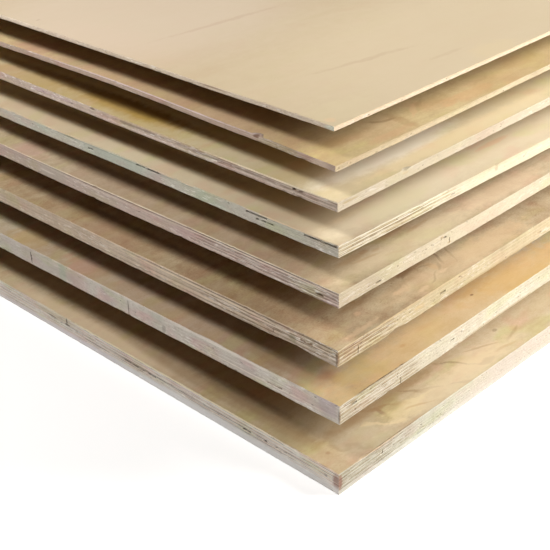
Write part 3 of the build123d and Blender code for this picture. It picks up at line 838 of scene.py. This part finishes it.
def makePlyGroup():
    # The edge of a sheet. Plies with end grain are darker and speckled, each ply has a tone of
    # its own, and pale and brown dashes lie along them. All of it is clearest near the corner.
    tree, given, result = newGroup(
        "pliesOnEdge",
        {
            "Vector": ("Map", "Shift"),
            "Color": ("Long Grain", "End Grain"),
            "Float": ("Crossed", "Recess Shade", "Veneer", "Lines", "Reach", "Drift", "Grime", "Grit"),
        },
        {"Color": ("Color",), "Float": ("Height",)},
    )
    place = given["Map"].vector("ADD", given["Shift"])
    mapX, mapY = given["Map"].split()
    clusters = place.noise(26.0, 120.0)
    away = mapX.calc("ABSOLUTE") / given["Reach"] + (clusters - 0.5) * 0.9
    clear = away.spread(0.75, 1.25, 1.0, 0.22, smooth=True) * given["Lines"]

    inPlies = mapY / given["Veneer"]
    placeX = place.split()[0]
    plyStep = 3.7  # so far apart on the noise, two plies have nothing in common
    plyPlace = addNode(tree, "CombineXYZ", {"X": placeX, "Y": inPlies.calc("FLOOR") * plyStep})
    ownTone = (Signal(plyPlace.outputs["Vector"]).noise(7.0, 1.0, detail=1.0) - 0.5) * 1.6

    along = place.noise(30.0, 1500.0).spread(0.3, 0.7)
    speckle = place.noise(700.0, 900.0).spread(0.3, 0.7)
    upright = place.noise(120.0, 26.0).spread(0.35, 0.75)
    crossed = given["Crossed"]
    texture = blendTones(tree, crossed, along, speckle) - 0.5
    amount = (crossed * 0.8 + texture * 0.4 + ownTone) * clear
    amount = amount.calc("ADD", upright * 0.25, clamp=True)
    tone = blendTones(tree, amount, given["Long Grain"], given["End Grain"])

    # Glue lines break off and start again; brown and pale dashes lie beside them.
    fraction = inPlies.calc("FRACT")
    fromGlue = fraction.calc("MINIMUM", 1.0 - fraction)
    glueShow = place.noise(32.0, 400.0).spread(0.38, 0.54) * clear
    glue = fromGlue.spread(0.06, 0.2, 1.0, 0.0) * glueShow * 0.62
    brown = place.noise(50.0, 1300.0, detail=1.0).spread(0.6, 0.7)
    brown = brown * clear * clusters.spread(0.45, 0.6) * 0.6
    pale = place.noise(60.0, 1500.0, 3.0, detail=0.0).spread(0.56, 0.66)
    pale = pale * clear * clusters.spread(0.35, 0.5) * 0.65
    paleTone = blendTones(tree, 0.55, given["Long Grain"], sharedTints["paleDash"])
    for label, share in (("glue", glue), ("brownDash", brown)):
        tone = blendTones(tree, share, tone, linear(sharedTones[label]))
    tone = blendTones(tree, pale, tone, paleTone)

    tone = drift(tree, place, tone, given["Drift"], 60.0)
    stain = place.noise(18.0, 45.0).spread(0.55, 0.8, 0.0, 0.28)
    speck = place.noise(150.0, 330.0, detail=1.0).spread(0.72, 0.78, 0.0, 0.6)
    grit = place.noise(230.0, 620.0, 5.0, detail=3.0, roughness=0.65).spread(0.5, 0.68)
    grit = grit * (given["Grit"] * 0.4)
    for label, share in (("stain", stain), ("speck", speck), ("grit", grit)):
        tone = blendTones(tree, share, tone, linear(sharedTones[label]))
    crumbs = place.noise(120.0, 720.0, 9.0).spread(0.56, 0.66)
    gather = place.noise(16.0, 70.0, 4.0, detail=1.0).spread(0.46, 0.58)
    tone = blendTones(tree, crumbs * gather * given["Grit"], tone, sharedTints["crumb"])
    tone = addCornerShade(tree, given, tone)
    # Painted shade darkens the gaps, splits and chips of the edge.
    tone = blendTones(tree, given["Recess Shade"], tone, linear(sharedTones["recessShade"]))
    fill(result, {"Color": tone, "Height": speckle * crossed + along})
    return tree


def startMaterial(name):
    material = bpy.data.materials.new(name)
    material.use_nodes = True
    tree = material.node_tree
    tree.nodes.clear()
    shader = addNode(tree, "BsdfPrincipled")
    addNode(tree, "OutputMaterial", {"Surface": Signal(shader.outputs["BSDF"])})
    return material, tree, shader


# Roughness, specular level, and the distance and strength of the finest relief
finishes = {
    "face": (0.8, 0.12, 0.0002, 0.35),
    "edge": (0.85, 0.2, 0.0003, 0.5),
    "batten": (0.85, 0.2, 0.0004, 0.5),
}


def finishSurface(shader, tone, height, finish):
    roughness, specular, distance, strength = finishes[finish]
    bump = addNode(shader.id_data, "Bump", {"Strength": strength, "Distance": distance, "Height": height})
    fill(shader, {
        "Base Color": tone, "Roughness": roughness, "Specular IOR Level": specular,
        "Normal": Signal(bump.outputs["Normal"]),
    })


def placeSpot(sheetMap, middle, halfSize, ragged, turn=0.0):
    # A turned spot sways by a millimetre for each degree.
    inputs = {
        "Map": sheetMap, "Middle": (*middle, 0.0), "Half Size": (*halfSize, 1.0), "Ragged": ragged,
        "Turn": radians(turn), "Sway": abs(turn) / 1000,
    }
    return Signal(addNode(sheetMap.tree, "Group", inputs, node_tree=softSpot).outputs["Mask"])


def paintSpots(sheetMap, tone, spots):
    for middleX, middleY, halfX, halfY, color, amount, *outline in spots:
        middle = (middleX / 1000, middleY / 1000)
        mask = placeSpot(sheetMap, middle, (halfX / 1000, halfY / 1000), *outline)
        tone = blendTones(sheetMap.tree, mask * amount, tone, linear(color))
    return tone


def readMap(tree):
    return Signal(addNode(tree, "UVMap", uv_map="sheetMap").outputs["UV"])


def readLayer(tree, label):
    return Signal(addNode(tree, "Attribute", attribute_name=label).outputs["Fac"])


def faceMaterial(name, sheet):
    material, tree, shader = startMaterial(name + " face")
    sheetMap = readMap(tree)
    knotX, knotY, knotSize = sheet.get("knot", boards["noKnot"])
    flame = sheet.get("flame", boards["noFlame"])
    apex, ringsAlong, ringsAcross, middleX, middleY, halfX, halfY, strength = flame
    inputs = {label: sheet[label.lower()] for label in ("Streaks", "Figure", "Patches", "Flecks", "Drift")}
    inputs.update(zip(("Pale", "Dark", "Patch"), map(linear, sheet["faceTones"])))
    inputs.update({
        "Map": sheetMap,
        "Shift": [sheet["seed"] * step for step in boards["faceShift"]],
        "Figure Scale": sheet["figureScale"],
        "Knot": (knotX * boards["knotStretch"], knotY, 0.0),
        "Knot Size": knotSize,
        "Apex": apex,
        "Flame": placeSpot(sheetMap, (middleX, middleY), (halfX, halfY), 0.3) * strength,
        "Rings Along": ringsAlong,
        "Rings Across": ringsAcross,
        "Grime": sheet["cornerGrime"],
    })
    veneer = addNode(tree, "Group", inputs, node_tree=faceVeneer).outputs
    tone = paintSpots(sheetMap, Signal(veneer["Color"]), sheet["faceSpots"])
    finishSurface(shader, tone, Signal(veneer["Height"]), "face")
    return material


# How strongly the two kinds of edges show what their sheet gives
edgeKinds = {
    "side": {"drift": 0.5, "grime": 0.6, "grit": 0.3},
    "end": {"drift": 1.0, "grime": 0.0, "grit": 0.6},
}


def edgeMaterial(name, sheet, kind):
    material, tree, shader = startMaterial(name + " " + kind + " edge")
    sheetMap = readMap(tree)
    low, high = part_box(name)
    longGrain, endGrain = sheet[kind + "Tones"]
    lines, reach = sheet[kind + "Lines"]
    plies = addNode(tree, "Group", {
        "Map": sheetMap,
        "Shift": [sheet["seed"] * step for step in boards["edgeShift"]],
        "Long Grain": linear(longGrain),
        "End Grain": linear(endGrain),
        "Crossed": readLayer(tree, "endGrain"),
        "Recess Shade": readLayer(tree, "recessShade"),
        "Veneer": (high.z - low.z) / sheet["plies"],
        "Lines": lines,
        "Reach": reach,
        "Drift": sheet["drift"] * edgeKinds[kind]["drift"],
        "Grime": sheet["cornerGrime"] * edgeKinds[kind]["grime"],
        "Grit": edgeKinds[kind]["grit"],
    }, node_tree=pliesOnEdge).outputs
    tone = paintSpots(sheetMap, Signal(plies["Color"]), sheet[kind + "Spots"])
    finishSurface(shader, tone, Signal(plies["Height"]), "edge")
    return material


softSpot = makeSpotGroup()
faceVeneer = makeVeneerGroup()
pliesOnEdge = makePlyGroup()
for name, sheet in sheets.items():
    piece = buildSheet(name, sheet)
    piece.data.materials.append(faceMaterial(name, sheet))
    for kind in edgeKinds:
        piece.data.materials.append(edgeMaterial(name, sheet, kind))
    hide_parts(name)
    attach(piece, "root")
    print("built", name, len(piece.data.polygons), "faces")


# The battens between the sheets are rough-sawn, with their grain along Y.
battenLooks = {
    "pale": (206, 176, 132),
    "dark": (160, 124, 82),
    "sawMark": (178, 146, 104),
}


def battenMaterial():
    material, tree, shader = startMaterial("sawn batten")
    pale, dark, sawMark = (linear(battenLooks[key]) for key in ("pale", "dark", "sawMark"))
    place = Signal(addNode(tree, "TexCoord").outputs["Object"])
    streak = place.noise(420.0, 5.0, 420.0, detail=3.0, roughness=0.6).spread(0.3, 0.7)
    broad = place.noise(60.0, 2.0, 60.0).spread(0.3, 0.7)
    inputs = {"Vector": place, "Scale": 55.0, "Distortion": 2.5, "Detail": 2.0}
    wave = Signal(addNode(tree, "TexWave", inputs, bands_direction="Y").outputs["Fac"])
    tone = blendTones(tree, (streak + broad) * 0.5, pale, dark)
    tone = blendTones(tree, wave * 0.35, tone, sawMark)
    finishSurface(shader, tone, wave * 0.6 + streak, "batten")
    return material


sawn = battenMaterial()
battens = [node for name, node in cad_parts.items() if name.startswith("sticker_")]
for batten in battens:
    for slot in batten.material_slots:
        slot.material = sawn
    if not batten.material_slots:
        batten.data.materials.append(sawn)
print("dressed", len(battens), "battens")

# A pale floor and plain soft light. A small soft box stands to the left of the near corner,
# a wide one to the right lights the far end of the long side, and a weak light comes from
# behind.
studio = {
    "floorSize": 14.0,
    "floorTone": (226, 224, 221),
    "floorGlow": 0.53,
    "worldStrength": 0.055,
    "softBoxes": {
        "left light": {"place": (-1.80, 0.07, 1.22), "size": 0.25, "energy": 11.4},
        "right light": {"place": (0.91, -2.22, 1.56), "size": 1.4, "energy": 166.0},
    },
    "lampAim": (-1.12, -0.51, 0.20),
    "backFrom": (0.9, 0.9, 0.7), "backEnergy": 0.5, "backAngle": 60.0,
}


def addLamp(name, kind, comesFrom, place=(0.0, 0.0, 0.0), **settings):
    lamp = bpy.data.lights.new(name, kind)
    for label, value in settings.items():
        setattr(lamp, label, value)
    lampObject = addObject(name, lamp)
    lampObject.location = place
    lampObject.rotation_euler = Vector(comesFrom).to_track_quat("Z", "Y").to_euler()
    lampObject.visible_camera = False


def addFloor():
    half = studio["floorSize"] / 2
    mesh = bpy.data.meshes.new("floor")
    corners = [(x * half, y * half, 0) for x, y in ((-1, -1), (1, -1), (1, 1), (-1, 1))]
    mesh.from_pydata(corners, [], [(0, 1, 2, 3)])
    floor = addObject("floor", mesh)
    material, tree, shader = startMaterial("studio floor")
    # The camera sees a glow added to the lit floor, so the floor is white where light reaches
    # it and a soft shadow stays.
    seen = Signal(addNode(tree, "LightPath").outputs["Is Camera Ray"])
    fill(shader, {
        "Base Color": linear(studio["floorTone"]), "Roughness": 0.9, "Specular IOR Level": 0.0,
        "Emission Color": sharedTints["white"], "Emission Strength": seen * studio["floorGlow"],
    })
    mesh.materials.append(material)


def setWorld():
    world = bpy.data.worlds.new("studio")
    world.use_nodes = True
    tree = world.node_tree
    tree.nodes.clear()
    path = addNode(tree, "LightPath").outputs
    seen = Signal(path["Is Camera Ray"]).calc("MAXIMUM", Signal(path["Is Glossy Ray"]))
    strength = seen.spread(0.0, 1.0, studio["worldStrength"], 1.0)
    background = addNode(tree, "Background", {"Color": sharedTints["white"], "Strength": strength})
    addNode(tree, "OutputWorld", {"Surface": Signal(background.outputs["Background"])})
    bpy.context.scene.world = world


addFloor()
setWorld()
for name, box in studio["softBoxes"].items():
    fromAim = Vector(box["place"]) - Vector(studio["lampAim"])
    addLamp(name, "AREA", fromAim, box["place"], size=box["size"], energy=box["energy"])
backAngle = radians(studio["backAngle"])
addLamp("back light", "SUN", studio["backFrom"], energy=studio["backEnergy"], angle=backAngle)
bpy.context.scene.view_settings.view_transform = "Standard"
print("floor and lights set")

# The camera stands near the near corner and looks down along the sheets' diagonal.
cameraView = {
    "place": (-1.9021, -1.2136, 0.7600),
    "yaw": 45.16,  # from +Y toward +X
    "pitch": 29.53,  # downward
    "roll": -1.67,
    "lens": 79.51,  # on a 36 mm sensor
}


def addCamera():
    yaw, pitch, roll = (radians(cameraView[key]) for key in ("yaw", "pitch", "roll"))
    forward = Vector((sin(yaw) * cos(pitch), cos(yaw) * cos(pitch), -sin(pitch)))
    level = Vector((cos(yaw), -sin(yaw), 0.0))
    upward = level.cross(forward)
    right = cos(roll) * level + sin(roll) * upward
    top = cos(roll) * upward - sin(roll) * level
    cameraData = bpy.data.cameras.new("photo camera")
    cameraData.lens = cameraView["lens"]
    cameraData.clip_start = 0.05
    cameraData.clip_end = 60.0
    camera = addObject("photo camera", cameraData)
    axes = Matrix((right, top, -forward)).transposed().to_4x4()
    camera.matrix_world = Matrix.Translation(cameraView["place"]) @ axes
    bpy.context.scene.camera = camera


addCamera()
print("camera set")
